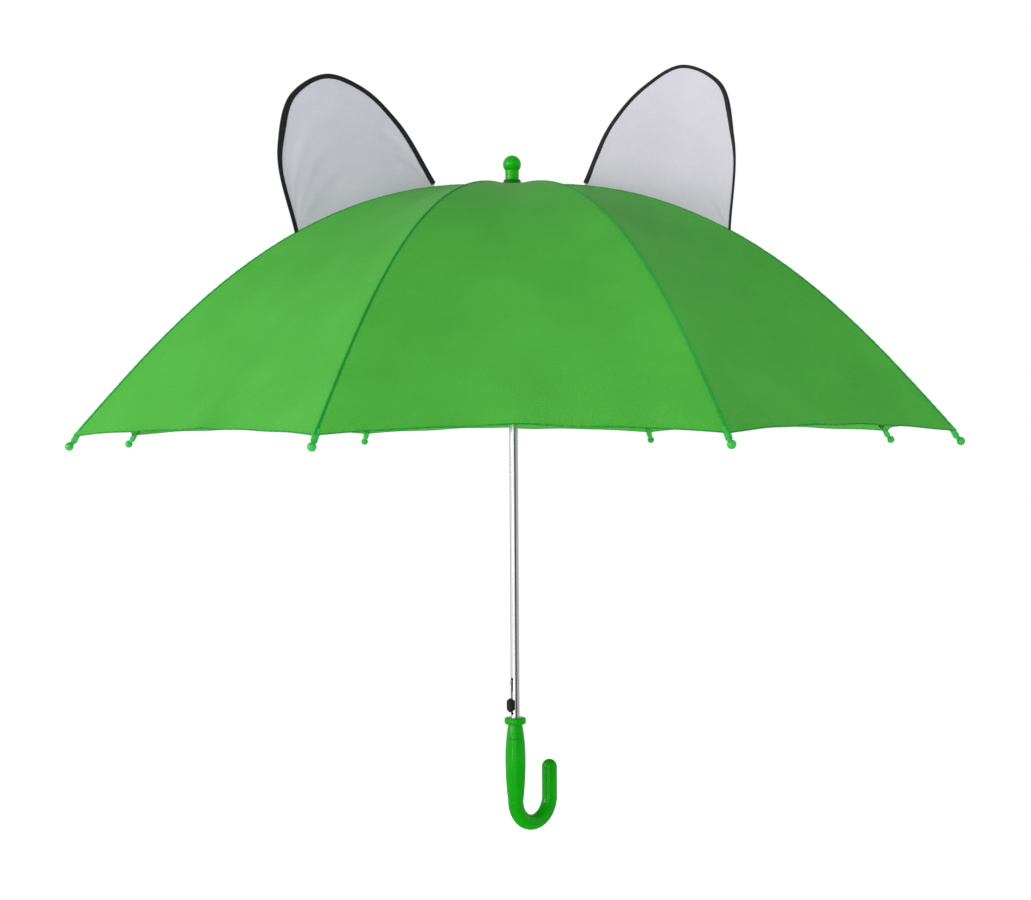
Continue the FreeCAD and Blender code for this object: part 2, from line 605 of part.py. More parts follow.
def make_finial():
    """A ball on a neck, pressed on the shaft's top end."""
    ball = Part.makeSphere(FINIAL_BALL_RADIUS, vec(0, 0, CAP_TOP + FINIAL_BALL_ABOVE_CAP))
    neck = pole(FINIAL_NECK_RADIUS, CAP_TOP, CAP_TOP + FINIAL_BALL_ABOVE_CAP)
    socket = pole(SHAFT_RADIUS, CAP_TOP - OVERCUT, CROWN + SHAFT_IN_FINIAL)
    return neck.fuse(ball).cut(socket).removeSplitter()


def cloth_sag(station):
    return PANEL_SAG * math.sin(math.pi * station / SAG_SPAN)


def cloth_point(station, lift, side):
    """A point of the cloth over its rib (side 0) or half way to the next rib (side 1 or -1).

    Half way, it is on the straight line between the two ribs, less the sag.
    """
    if side == 0:
        return rib_vec(station, lift)
    radius, height, droop = rib_place(station, lift)
    radius = radius * math.cos(math.radians(HALF_GORE)) - cloth_sag(station) * math.sin(droop)
    height -= cloth_sag(station) * math.cos(droop)
    turn = math.radians(side * HALF_GORE)
    across = -side * CLOTH_JOIN_GAP / 2
    x = radius * math.cos(turn) - across * math.sin(turn)
    y = radius * math.sin(turn) + across * math.cos(turn)
    return vec(x, y, NOTCH_HINGE + height)


def cloth_line(point, where, start, end, lift, count):
    """A smooth line at one lift through the points that point gives for a station, lift and where."""
    stations = [start + (end - start) * n / (count - 1) for n in range(count)]
    curve = Part.BSplineCurve()
    curve.interpolate([point(s, lift, where) for s in stations])
    return curve.toShape()


def closed_skin(top, under):
    """A thin solid between a row of lines above and the same row below."""
    faces = []
    for row in (top, under):
        faces += [Part.makeRuledSurface(a, b) for a, b in zip(row, row[1:])]
    for edge in (0, -1):
        faces.append(Part.makeRuledSurface(top[edge], under[edge]))
    for end in (0, -1):
        for number in range(len(top) - 1):
            sides = [line(row[number].Vertexes[end].Point, row[number + 1].Vertexes[end].Point)
                     for row in (top, under)]
            faces.append(Part.makeRuledSurface(*sides))
    shell = Part.makeShell(faces)
    shell.sewShape()
    solid = Part.makeSolid(shell)
    if solid.Volume < 0:
        solid.reverse()
    return solid


def make_gore():
    """The cloth from the middle of one panel over the rib to the middle of the next."""
    rows = []
    for lift in (CLOTH_TOP_LIFT, CLOTH_LIFT):
        row = []
        for side in (-1, 0, 1):
            end = RIB_LENGTH if side == 0 else RIB_LENGTH - HEM_RISE
            row.append(cloth_line(cloth_point, side, 0.0, end, lift, CLOTH_POINTS))
        rows.append(row)
    return closed_skin(*rows)


def strap_point(station, lift, across):
    """A point on the gore's straight ruling, a distance across from the seam."""
    seam, middle = cloth_point(station, lift, 0), cloth_point(station, lift, 1)
    return seam + (middle - seam) * (across / (middle - seam).Length)


def make_strap():
    """A flat band laid on the cloth beside its seam."""
    rows = []
    for lift in (CLOTH_TOP_LIFT + STRAP_LIFT + STRAP_THICKNESS, CLOTH_TOP_LIFT + STRAP_LIFT):
        row = []
        for across in (STRAP_FROM_SEAM, STRAP_FROM_SEAM + STRAP_WIDTH):
            end = STRAP_START + STRAP_LENGTH
            row.append(cloth_line(strap_point, across, STRAP_START, end, lift, STRAP_POINTS))
        rows.append(row)
    return closed_skin(*rows)


def ear_wire():
    """The ear's outline in its rib's plane: up from the cloth, over a round top, and down its outside."""
    lift = CLOTH_TOP_LIFT + EAR_ABOVE_CLOTH
    start, end = rib_vec(EAR_START_STATION, lift), rib_vec(EAR_END_STATION, lift)
    shoulder, top, corner, outside = [
        vec(radius, 0, CROWN + height) for radius, height in (EAR_SHOULDER, EAR_TOP, EAR_CORNER, EAR_OUTSIDE)
    ]
    rise = shoulder - start
    bow = (start + shoulder) * 0.5 + vec(-rise.z, 0, rise.x).normalize() * EAR_SHOULDER_BOW
    free = [arc(start, bow, shoulder), arc(shoulder, top, corner), arc(corner, outside, end)]
    base = rib_edges(EAR_START_STATION, EAR_END_STATION, lift)
    return Part.Wire(Part.__sortEdges__(free + base))


def make_ear():
    """The ear's cloth inside its edging, and the edging that runs round it."""
    outline = ear_wire()
    inner = Part.Face(outline).makeOffset2D(-EAR_EDGING_WIDTH)
    cloth = plate(inner.OuterWire.Edges, EAR_THICKNESS)
    ring = plate(outline.Edges, EAR_EDGING_THICKNESS)
    ring = ring.cut(plate(inner.OuterWire.Edges, 2 * EAR_EDGING_THICKNESS))
    return cloth, ring


def build():
    save("shaft_tube", make_shaft())
    save("hook_handle", make_hook_handle())
    save("handle_collar", make_collar())
    save("push_button", turned(make_button(), HOOK_HEADING + 180))
    save("catch_leaf", turned(make_catch(), HOOK_HEADING + 180))
    save("top_notch", make_notch())
    save("notch_wire", wire_ring(NOTCH_HINGE))
    save("crown_cap", make_cap())
    save("finial", make_finial())
    save("hub_stop", make_hub_stop())
    save("stretcher_hub", make_hub())
    save("hub_wire", wire_ring(HUB_HINGE))
    save("runner", make_runner())
    save("runner_wire", wire_ring(RUNNER_HINGE))
    save("opening_spring", make_spring())
    repeated = {
        "rib": make_rib(),
        "rib_tip": make_rib_tip(),
        "stretcher": make_stretcher(),
        "strut": make_strut(),
        "canopy": make_gore(),
    }
    for number in range(1, RIB_COUNT + 1):
        for name, shape in repeated.items():
            save(f"{name}_{number}", turned(shape, heading_of(number)))
    ear_cloth, ear_ring = make_ear()
    for side, number in EAR_RIBS.items():
        save(f"ear_{side}", turned(ear_cloth, heading_of(number)))
        save(f"ear_edging_{side}", turned(ear_ring, heading_of(number)))
    save("closure_strap", turned(make_strap(), heading_of(STRAP_RIB)))


os.makedirs("parts", exist_ok=True)
build()
print("crown", round(CROWN, 2), "notch hinge", round(NOTCH_HINGE, 2), "hub hinge", round(HUB_HINGE, 2))
print("runner hinge", round(RUNNER_HINGE, 2), "open", round(OPEN_ANGLE, 2), "fold", round(FOLD_ANGLE, 2))
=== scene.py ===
import json
import math

import bpy
import numpy as np
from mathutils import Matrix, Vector


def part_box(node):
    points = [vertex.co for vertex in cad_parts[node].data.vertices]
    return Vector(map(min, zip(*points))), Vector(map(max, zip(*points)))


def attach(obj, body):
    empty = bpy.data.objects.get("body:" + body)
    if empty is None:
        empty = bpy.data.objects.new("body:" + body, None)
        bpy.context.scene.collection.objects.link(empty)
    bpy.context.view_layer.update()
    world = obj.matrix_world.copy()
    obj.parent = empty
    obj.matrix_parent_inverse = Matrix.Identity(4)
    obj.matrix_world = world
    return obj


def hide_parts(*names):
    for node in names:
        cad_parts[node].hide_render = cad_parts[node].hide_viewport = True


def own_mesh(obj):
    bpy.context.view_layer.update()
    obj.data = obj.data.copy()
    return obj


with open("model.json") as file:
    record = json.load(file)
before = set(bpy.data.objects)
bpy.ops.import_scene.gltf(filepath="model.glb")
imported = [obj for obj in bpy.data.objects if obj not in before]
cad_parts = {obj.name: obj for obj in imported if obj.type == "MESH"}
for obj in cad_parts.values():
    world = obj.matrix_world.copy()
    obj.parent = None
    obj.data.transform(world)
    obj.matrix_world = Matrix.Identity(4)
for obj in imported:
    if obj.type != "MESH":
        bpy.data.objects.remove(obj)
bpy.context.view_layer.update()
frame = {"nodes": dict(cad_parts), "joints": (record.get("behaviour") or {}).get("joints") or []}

# A child's stick umbrella, open, with two ears in its seams. Metres, in the frame's own axes:
# z runs up the shaft from the middle of the grip, and headings turn from +x towards +y.
MM = 0.001
TURN = 2 * math.pi

# Ribs and cloth.
RIB_COUNT = 8
FIRST_HEADING = -66.5
RIB_LENGTH = 478 * MM
RIB_START_DROOP = -4.0
RIB_EXTRA_DROOP = 53.0
RIB_ARCS = 6
CLOTH_UNDER = 2.6 * MM
CLOTH_TOP = 3.0 * MM
PANEL_SAG = 9 * MM
SAG_SPAN = 650 * MM
HEM_RISE = 14 * MM
SLACK = 1.1 * MM
SEAM_START = 5 * MM
SEAM_WIDTH = (2.2 * MM, 3.6 * MM)
SEAM_HEIGHT = (0.45 * MM, 0.95 * MM)
SEAM_VALLEY = 0.5 * MM
VALLEY_REACH = 3.5 * MM
HEM_WIDTH = 6.5 * MM
HEM_FOLD = 0.26 * MM
POCKET_ENDS = (-7 * MM, 3.2 * MM)
POCKET_FLAT = (3.4 * MM, 1.7 * MM)
POCKET_ROUND = 2.75 * MM
POCKET_RISE = 1.2 * MM

# Ears, each on its own rib: outline points as distance from the shaft and height above the crown.
EAR_CLOTH = 0.35 * MM
EAR_WRINKLE = 0.7 * MM
BINDING_THICKNESS = 1.9 * MM
EARS = {
    "right": {
        "rib": 2,
        "outline": [(70, 1), (97, 54), (128, 85), (165, 102), (200, 85), (213, 34), (209, -50)],
        "binding": [(0.0, 5.0), (0.25, 3.6), (0.5, 3.2), (0.66, 4.8), (0.8, 2.2), (1.0, 2.2)],
    },
    "left": {
        "rib": 7,
        "outline": [(76, 1), (113, 56), (146, 84), (180, 94), (213, 75), (226, 28), (210, -52)],
        "binding": [(0.0, 5.2), (0.3, 4.7), (0.52, 4.6), (0.68, 6.4), (0.82, 3.8), (1.0, 3.9)],
    },
}

# Strap on a back gore, and its press stud.
STRAP_RIB = 5
STRAP_LENGTH = 120 * MM
STRAP_START = RIB_LENGTH - 38 * MM - STRAP_LENGTH
STRAP_EDGES = (6 * MM, 24 * MM)
STRAP_LIFTS = (3.45 * MM, 4.2 * MM)
STUD_STATION = STRAP_START + 14 * MM
STUD_PROFILE = [(5.2, -0.2), (5.6, 0.3), (5.6, 0.9), (5.2, 1.4),
                (4.6, 1.5), (4.0, 1.2), (3.2, 0.9), (0.2, 0.8)]

SPRING_TURNS = 9
SPRING_WIRE = 0.4 * MM

# The white stage: its floor, and the greys of the room's walls by their share of the way round.
FLOOR_HEIGHT = -0.42
FLOOR_RADIUS = 6
WALL_GREYS = [(0.0, 0.45), (0.17, 0.45), (0.20, 0.9), (0.515, 0.95),
              (0.53, 0.06), (0.62, 0.08), (0.66, 0.42), (0.85, 0.5)]

joints = {joint["name"]: joint for joint in frame["joints"]}
notch_hinge = np.array(joints["fold"]["pos_m"], float)
HINGE_RADIUS = math.hypot(notch_hinge[0], notch_hinge[1])
HINGE_HEIGHT = notch_hinge[2]
CROWN = HINGE_HEIGHT + CLOTH_TOP


# ---------------------------------------------------------------- camera, stage and light

def rgba(colour):
    """sRGB hex to linear red, green, blue and an alpha of one."""
    parts = [int(colour[i:i + 2], 16) / 255 for i in (1, 3, 5)]
    linear = [c / 12.92 if c <= 0.04045 else ((c + 0.055) / 1.055) ** 2.4 for c in parts]
    return (*linear, 1.0)


def node(tree, kind, inputs=None, **settings):
    """Adds a node with its settings. An input given a socket is linked to it, and one given a value is set."""
    made = tree.nodes.new(kind)
    for name, value in settings.items():
        setattr(made, name, value)
    for name, value in (inputs or {}).items():
        if isinstance(value, bpy.types.NodeSocket):
            tree.links.new(value, made.inputs[name])
        else:
            made.inputs[name].default_value = value
    return made


def maths(tree, operation, *values):
    """The result of a maths node on up to three values or sockets."""
    return node(tree, "ShaderNodeMath", dict(enumerate(values)), operation=operation).outputs[0]


def mapped(tree, value, low, high, at_low, at_high, **settings):
    """A value carried from one range to another, held at its ends."""
    inputs = dict(enumerate((value, low, high, at_low, at_high)))
    return node(tree, "ShaderNodeMapRange", inputs, **settings).outputs[0]


def mixed_colour(tree, share, first, second):
    """The first colour at share 0 and the second at 1."""
    return node(tree, "ShaderNodeMix", {0: share, 6: first, 7: second}, data_type="RGBA").outputs[2]


def make_camera():
    """A long lens two metres in front, level, shifted a little down and rolled a third of a degree."""
    data = bpy.data.cameras.new("camera")
    data.sensor_width = 36
    data.lens = 75.8
    data.shift_y = -0.0195
    camera = bpy.data.objects.new("camera", data)
    camera.location = (0.0018, -2.010, 0.3049)
    camera.rotation_euler = (math.radians(90), math.radians(0.34), 0)
    bpy.context.collection.objects.link(camera)
    bpy.context.scene.camera = camera


def soft_box(name, place, target, width, height, power, colour="#ffffff", mirrored=True):
    """A flat light of a width and a height, turned to a target. The camera doesn't see it, and shiny things
    see it where mirrored is set."""
    data = bpy.data.lights.new(name, "AREA")
    data.shape = "RECTANGLE"
    data.size, data.size_y = width, height
    data.energy = power
    data.color = rgba(colour)[:3]
    light = bpy.data.objects.new(name, data)
    light.location = place
    light.rotation_euler = (Vector(target) - Vector(place)).to_track_quat("-Z", "Y").to_euler()
    light.visible_camera = False
    light.visible_glossy = mirrored
    bpy.context.collection.objects.link(light)


def make_studio():
    """A white room: the backdrop is white to the camera. The walls that everything else sees are grey, darkest
    in one band, and they darken again towards the floor."""
    scene = bpy.context.scene
    scene.view_settings.view_transform = "Standard"
    world = bpy.data.worlds.new("white_room")
    scene.world = world
    world.use_nodes = True
    tree = world.node_tree
    tree.nodes.clear()
    place = node(tree, "ShaderNodeTexCoord").outputs["Generated"]
    axes = node(tree, "ShaderNodeSeparateXYZ", {0: place})
    forward = maths(tree, "MULTIPLY", axes.outputs[1], -1.0)
    around = maths(tree, "ARCTAN2", axes.outputs[0], forward)
    share = mapped(tree, around, -math.pi, math.pi, 0.0, 1.0)
    ramp_node = node(tree, "ShaderNodeValToRGB", {0: share})
    ramp = ramp_node.color_ramp
    while len(ramp.elements) < len(WALL_GREYS):
        ramp.elements.new(1.0)
    for element, (position, grey) in zip(ramp.elements, WALL_GREYS):
        element.position = position
        element.color = (grey, grey, grey, 1.0)
    up = mapped(tree, axes.outputs[2], 0.25, 0.75, 0.0, 1.0)
    walls = mixed_colour(tree, up, ramp_node.outputs[0], (0.30, 0.30, 0.30, 1.0))
    down = mapped(tree, axes.outputs[2], -0.10, -0.35, 0.0, 1.0)
    walls = mixed_colour(tree, down, walls, (0.12, 0.12, 0.12, 1.0))
    room = node(tree, "ShaderNodeBackground", {0: walls, 1: 1.15}).outputs[0]
    backdrop = node(tree, "ShaderNodeBackground", {0: (1.0, 1.0, 1.0, 1.0), 1: 1.0}).outputs[0]
    seen = node(tree, "ShaderNodeLightPath").outputs["Is Camera Ray"]
    mixed = node(tree, "ShaderNodeMixShader", {0: seen, 1: room, 2: backdrop}).outputs[0]
    node(tree, "ShaderNodeOutputWorld", {0: mixed})
    middle = (0, 0, 0.35)
    soft_box("key_left", (-2.4, -1.3, 0.9), middle, 1.2, 1.2, 34, "#fffaf0")
    soft_box("fill_right", (1.9, -2.2, 0.8), middle, 1.2, 1.2, 25, mirrored=False)
    soft_box("back", (0.6, 2.6, 1.1), middle, 1.6, 1.6, 24, mirrored=False)
    soft_box("strip_left", (-1.2, -1.9, 0.3), middle, 0.22, 1.2, 5)


def make_floor():
    """A pale round sheet of paper, well below the hook."""
    angle = np.linspace(0, TURN, 97)[:-1]
    rim = np.stack([FLOOR_RADIUS * np.cos(angle), FLOOR_RADIUS * np.sin(angle), FLOOR_HEIGHT + 0 * angle], -1)
    mesh = bpy.data.meshes.new("floor")
    mesh.from_pydata(rim.tolist(), [], [list(range(len(angle)))])
    floor = bpy.data.objects.new("floor", mesh)
    bpy.context.collection.objects.link(floor)
    paper = bpy.data.materials.new("matt_white_paper")
    paper.use_nodes = True
    shader = paper.node_tree.nodes["Principled BSDF"]
    shader.inputs["Base Color"].default_value = rgba("#f7f7f7")
    shader.inputs["Roughness"].default_value = 0.9
    shader.inputs["Specular IOR Level"].default_value = 0.1
    shader.inputs["Emission Color"].default_value = rgba("#ffffff")
    shader.inputs["Emission Strength"].default_value = 0.6
    mesh.materials.append(paper)
    floor.visible_glossy = False


# ---------------------------------------------------------------- meshes

CRISP_ANGLE = 40


def finished(name, points, faces, material, uv):
    """A smooth mesh from points and quads, with a map in metres. Sharp edges are kept crisp."""
    mesh = bpy.data.meshes.new(name)
    mesh.vertices.add(len(points))
    mesh.vertices.foreach_set("co", np.asarray(points, np.float32).ravel())
    mesh.loops.add(faces.size)
    mesh.loops.foreach_set("vertex_index", faces.astype(np.int32).ravel())
    mesh.polygons.add(len(faces))
    mesh.polygons.foreach_set("loop_start", np.arange(0, faces.size, faces.shape[1], dtype=np.int32))
    mesh.update(calc_edges=True)
    mesh.polygons.foreach_set("use_smooth", np.ones(len(faces), bool))
    layer = mesh.uv_layers.new(name="cloth_metres")
    layer.data.foreach_set("uv", np.asarray(uv, np.float32)[faces.ravel()].ravel())
    mesh.set_sharp_from_angle(angle=math.radians(CRISP_ANGLE))
    mesh.validate()
    mesh.materials.append(material)
    made = bpy.data.objects.new(name, mesh)
    bpy.context.collection.objects.link(made)
    return made


def sheet_faces(rows, columns):
    """Quads of an open grid, wound along the rows and then across."""
    index = np.arange(rows * columns).reshape(rows, columns)
    return index, np.stack([index[:-1, :-1], index[1:, :-1], index[1:, 1:], index[:-1, 1:]], -1).reshape(-1, 4)


def thin_sheet(name, top, under, material, uv):
    """A closed thin sheet: a grid of points above, the same grid below wound the other way, and the edge
    between."""
    index, quads = sheet_faces(*top.shape[:2])
    count = index.size
    ring = np.concatenate([index[:, 0], index[-1, 1:], index[-2::-1, -1], index[0, -2:0:-1]])
    after = np.roll(ring, -1)
    rim = np.stack([after, ring, ring + count, after + count], -1)
    points = np.concatenate([top.reshape(-1, 3), under.reshape(-1, 3)])
    faces = np.concatenate([quads, quads[:, ::-1] + count, rim])
    return finished(name, points, faces, material, np.concatenate([uv.reshape(-1, 2)] * 2))


def swept(name, points, material, uv=None):
    """A closed skin from rings of points along a path. Each ring joins the next, and each end closes on its
    middle with quads two points wide, so a ring has an even number of points."""
    rings, around = points.shape[:2]
    index = np.arange(rings * around).reshape(rings, around)
    near, far = index[:-1], index[1:]
    quads = np.stack([near, far, np.roll(far, -1, 1), np.roll(near, -1, 1)], -1).reshape(-1, 4)
    flat = points.reshape(-1, 3)
    maps = np.zeros((rings * around, 2)) if uv is None else uv.reshape(-1, 2)
    for ring, turn in ((index[0], 1), (index[-1], -1)):
        middle = np.full(around // 2, len(flat))
        flat = np.concatenate([flat, flat[ring].mean(0, keepdims=True)])
        maps = np.concatenate([maps, maps[ring].mean(0, keepdims=True)])
        cap = np.stack([ring[0::2], ring[1::2], np.roll(ring, -2)[0::2], middle], -1)
        quads = np.concatenate([quads, cap[:, ::turn]])
    return finished(name, flat, quads, material, maps)


def smooth_line(points, count):
    """A curve through points: each span is the cubic whose ends slope as their neighbours do, by chord
    length."""
    points = np.asarray(points, float)
    chord = np.concatenate([[0], np.cumsum(np.linalg.norm(np.diff(points, axis=0), axis=1))])
    slope = np.gradient(points, chord, axis=0)
    place = np.linspace(0, chord[-1], count)
    span = np.clip(np.searchsorted(chord, place, side="right") - 1, 0, len(chord) - 2)
    length = (chord[span + 1] - chord[span])[:, None]
    t = ((place - chord[span]) / length[:, 0])[:, None]
    start, end = points[span], points[span + 1]
    return ((1 + 2 * t) * (1 - t) ** 2 * start + t * (1 - t) ** 2 * length * slope[span]
            + t * t * (3 - 2 * t) * end + t * t * (t - 1) * length * slope[span + 1])


# ---------------------------------------------------------------- the cloth's shape

stations_fine = np.linspace(0, RIB_LENGTH, 1201)
knots = np.linspace(0, RIB_LENGTH, RIB_ARCS + 1)
droop_at_knots = RIB_START_DROOP + RIB_EXTRA_DROOP * np.sin(math.pi / 2 * knots / RIB_LENGTH)
droop_fine = np.radians(np.interp(stations_fine, knots, droop_at_knots))
droop_between = (droop_fine[1:] + droop_fine[:-1]) / 2
step_fine = stations_fine[1]
radius_fine = HINGE_RADIUS + np.concatenate([[0], np.cumsum(np.cos(droop_between)) * step_fine])
height_fine = HINGE_HEIGHT - np.concatenate([[0], np.cumsum(np.sin(droop_between)) * step_fine])


def heading_of(number):
    """A rib's heading: the ribs stand evenly round the shaft, from the first one's."""
    return math.radians(FIRST_HEADING + (number - 1) * 360 / RIB_COUNT)


def rib_line(station, lift):
    """Distance from the shaft, height and droop along a rib. The droop grows evenly between its knots, and the
    distance and height are the sums of its cosine and sine. The lift is square to the rib."""
    droop = np.interp(station, stations_fine, droop_fine)
    radius = np.interp(station, stations_fine, radius_fine) + lift * np.sin(droop)
    height = np.interp(station, stations_fine, height_fine) + lift * np.cos(droop)
    return radius, height, droop


def turned(radius, height, heading):
    """Points at a distance from the shaft, a height and a heading."""
    return np.stack(np.broadcast_arrays(radius * np.cos(heading), radius * np.sin(heading), height), -1)


random = np.random.default_rng(8)
slack_phase = random.uniform(0, TURN, (RIB_COUNT, 4))


def slack(panel, station, place):
    """How far a panel's cloth lies off its even sag: long shallow waves, nothing at the seams, most near the
    hem."""
    phase = slack_phase[panel]
    along, across = station / RIB_LENGTH, np.sin(math.pi * place)
    waves = np.sin(TURN * 1.6 * along + 2.0 * place + phase[..., 0])
    waves = waves + 0.7 * np.sin(TURN * (2.3 * place + 0.8 * along) + phase[..., 1])
    waves = waves + 0.45 * np.sin(TURN * (3.1 * along - 2.6 * place) + phase[..., 2])
    corner = np.exp(-((1 - along) / 0.22) ** 2) * np.sin(TURN * (4.5 * np.abs(place - 0.5)) + phase[..., 3])
    return SLACK * across * (along * waves + 0.6 * corner)


def gore_point(number, station, share, lift):
    """A point of the cloth near a rib. At share 0 it is over the rib, and at a half, either side, it is half
    way to the next one: on the straight line between the two ribs, less the sag and the slack, and lifted."""
    side = np.where(share < 0, -1, 1)
    part = np.abs(share)
    radius, height, droop = rib_line(station, lift)
    heading = heading_of(number)
    step = math.radians(360 / RIB_COUNT)
    own = turned(radius, height, heading)
    other = turned(radius, height, heading + side * step)
    square = turned(np.sin(droop), np.cos(droop), heading + side * step / 2)
    panel = (np.where(side > 0, number - 1, number - 2) % RIB_COUNT).astype(int)
    place = np.where(side > 0, part, 1 - part)
    drop = PANEL_SAG * np.sin(math.pi * station / SAG_SPAN) * 4 * part * (1 - part)
    drop = drop - slack(panel, station, place)
    part = part[..., None]
    return own * (1 - part) + other * part - square * drop[..., None]


def hem_station(share):
    """Where the cloth ends: at the rib's end over the rib, and less far out between the ribs."""
    part = np.abs(share)
    return RIB_LENGTH - HEM_RISE * 4 * part * (1 - part)


def panel_width(station):
    """Straight across from one rib to the next."""
    return 2 * rib_line(station, CLOTH_TOP)[0] * math.sin(math.pi / RIB_COUNT)


def seam_valley(station, share):
    """The cloth is drawn down beside its seam, over a few millimetres."""
    across = np.abs(share) * panel_width(station)
    return SEAM_VALLEY * np.exp(-(across / VALLEY_REACH) ** 2) * np.clip(station / (60 * MM), 0, 1)


def make_gore(number, material):
    """The cloth from the middle of one panel over its rib to the middle of the next."""
    rows = np.linspace(0, 1, 116)[:, None]
    near = np.linspace(0, 1, 31) ** 1.6 / 2
    share = np.concatenate([-near[:0:-1], near])[None, :]
    station = rows * hem_station(share)
    share = np.broadcast_to(share, station.shape)
    valley = seam_valley(station, share)
    top = gore_point(number, station, share, CLOTH_TOP - valley)
    under = gore_point(number, station, share, CLOTH_UNDER - valley)
    uv = np.stack([share * panel_width(station), station], -1)
    return thin_sheet(f"canopy_cloth_{number}", top, under, material, uv)


def make_seam(number, material):
    """The felled seam over a rib: a low arch across, that widens and stands up more towards the tip."""
    station = np.linspace(SEAM_START, RIB_LENGTH + 1 * MM, 260)[:, None]
    along = station / RIB_LENGTH
    across = np.linspace(-1, 1, 9)[None, :]
    width = SEAM_WIDTH[0] + (SEAM_WIDTH[1] - SEAM_WIDTH[0]) * along
    pinch = 1 + 0.10 * np.sin(TURN * station / (6.5 * MM)) + 0.06 * np.sin(TURN * station / (17 * MM) + number)
    height = (SEAM_HEIGHT[0] + (SEAM_HEIGHT[1] - SEAM_HEIGHT[0]) * along) * (1 - across ** 2) * pinch
    share = across * width * pinch / 2 / panel_width(station)
    station = np.broadcast_to(station, share.shape)
    base = CLOTH_TOP - seam_valley(station, share)
    top = gore_point(number, station, share, base + 0.05 * MM + height)
    under = gore_point(number, station, share, base - 0.3 * MM)
    uv = np.stack([share * panel_width(station), station], -1)
    return thin_sheet(f"canopy_seam_{number}", top, under, material, uv)


def make_hem(number, material):
    """The hem: the cloth's edge turned under on itself, as a flat loop carried along the edge."""
    share = np.linspace(-0.5, 0.5, 121)[:, None]
    inward = np.array([1.0, 0.75, 0.5, 0.12, 0.0, -0.06, 0.0, 0.12, 0.5, 0.75])[None, :] * HEM_WIDTH
    fold = np.array([0.0, 0.6, 0.9, 1.0, 0.7, 0.0, -0.7, -1.0, -0.9, -0.6])[None, :]
    station = hem_station(share) - inward
    share = np.broadcast_to(share, station.shape)
    middle = (CLOTH_TOP + CLOTH_UNDER) / 2 - seam_valley(station, share)
    pucker = 1 + 0.12 * np.sin(TURN * share * panel_width(station) / (9 * MM))
    points = gore_point(number, station, share, middle + fold * HEM_FOLD * pucker)
    uv = np.stack([share * panel_width(station), inward + 0 * share], -1)
    return swept(f"canopy_hem_{number}", points[:, ::-1], material, uv[:, ::-1])


def make_pocket(number, material):
    """The cloth corner sewn round a rib's end: a short tapered sleeve that starts flat and ends round."""
    share = np.linspace(0, 1, 14)[:, None]
    along = POCKET_ENDS[0] + (POCKET_ENDS[1] - POCKET_ENDS[0]) * share
    angle = np.linspace(0, TURN, 25)[:-1][None, :]
    half_width = POCKET_FLAT[0] + (POCKET_ROUND - POCKET_FLAT[0]) * share
    half_height = POCKET_FLAT[1] + (POCKET_ROUND - POCKET_FLAT[1]) * share
    gather = 1 + 0.05 * np.sin(7 * angle + number) * share
    radius, height, droop = rib_line(RIB_LENGTH, 0.0)
    lift = half_height * np.sin(angle) * gather + POCKET_RISE * (1 - share)
    out = radius + along * np.cos(droop) + lift * np.sin(droop)
    up = height - along * np.sin(droop) + lift * np.cos(droop)
    across = half_width * np.cos(angle) * gather
    heading = heading_of(number)
    points = np.stack([out * np.cos(heading) - across * np.sin(heading),
                       out * np.sin(heading) + across * np.cos(heading), up + 0 * across], -1)
    uv = np.stack([across, along + 0 * across], -1)
    return swept(f"tip_pocket_{number}", points[:, ::-1], material, uv[:, ::-1])


def ear_place(number, radius, height, across):
    """Points in a rib's own plane, moved square off it by a distance across."""
    heading = heading_of(number)
    return np.stack([radius * np.cos(heading) - across * np.sin(heading),
                     radius * np.sin(heading) + across * np.cos(heading), height + 0 * across], -1)


def ear_edge(side, count):
    """The ear's free edge: a smooth line through its outline's points."""
    line = smooth_line(EARS[side]["outline"], count) * MM
    return line[:, 0], CROWN + line[:, 1]


def make_ear(side, material):
    """The ear's cloth: straight lines from the seam up to the free edge, with soft wrinkles that fade at the
    rim."""
    number = EARS[side]["rib"]
    columns, rows = 81, 61
    edge = np.stack(ear_edge(side, columns), -1)
    ends = [np.interp(r, radius_fine, stations_fine) for r in edge[[0, -1], 0]]
    base = np.linspace(ends[0] + 1.5 * MM, ends[1] - 1.5 * MM, columns)
    foot = np.stack(rib_line(base, CLOTH_TOP - 0.6 * MM)[:2], -1)
    v = np.linspace(0, 1, rows)[:, None, None]
    rim = edge + (foot.mean(0) - edge) * 0.008
    flat = foot[None] * (1 - v) + rim[None] * v
    u = np.linspace(0, 1, columns)[None, :]
    v = v[..., 0]
    fade = np.sin(math.pi * u) ** 0.8 * np.sin(math.pi * v) ** 0.8
    sway = 1.0 if side == "right" else -1.0
    wrinkle = np.sin(TURN * (1.3 * u + 0.9 * v) + 0.6 * sway)
    wrinkle = wrinkle + 0.6 * np.sin(TURN * (2.1 * v - 1.4 * u) + sway)
    wrinkle = wrinkle + 0.35 * np.sin(TURN * (3.4 * u * sway + 2.2 * v))
    wrinkle = wrinkle + 0.25 * np.sin(TURN * (5.2 * v + 1.1 * u))
    lean = EAR_WRINKLE * fade * wrinkle
    radius, height = flat[..., 0], flat[..., 1]
    front = ear_place(number, radius, height, lean - EAR_CLOTH)
    back = ear_place(number, radius, height, lean + EAR_CLOTH)
    uv = np.stack([radius, height], -1)
    return thin_sheet(f"ear_cloth_{side}", front[:, ::-1], back[:, ::-1], material, uv[:, ::-1])


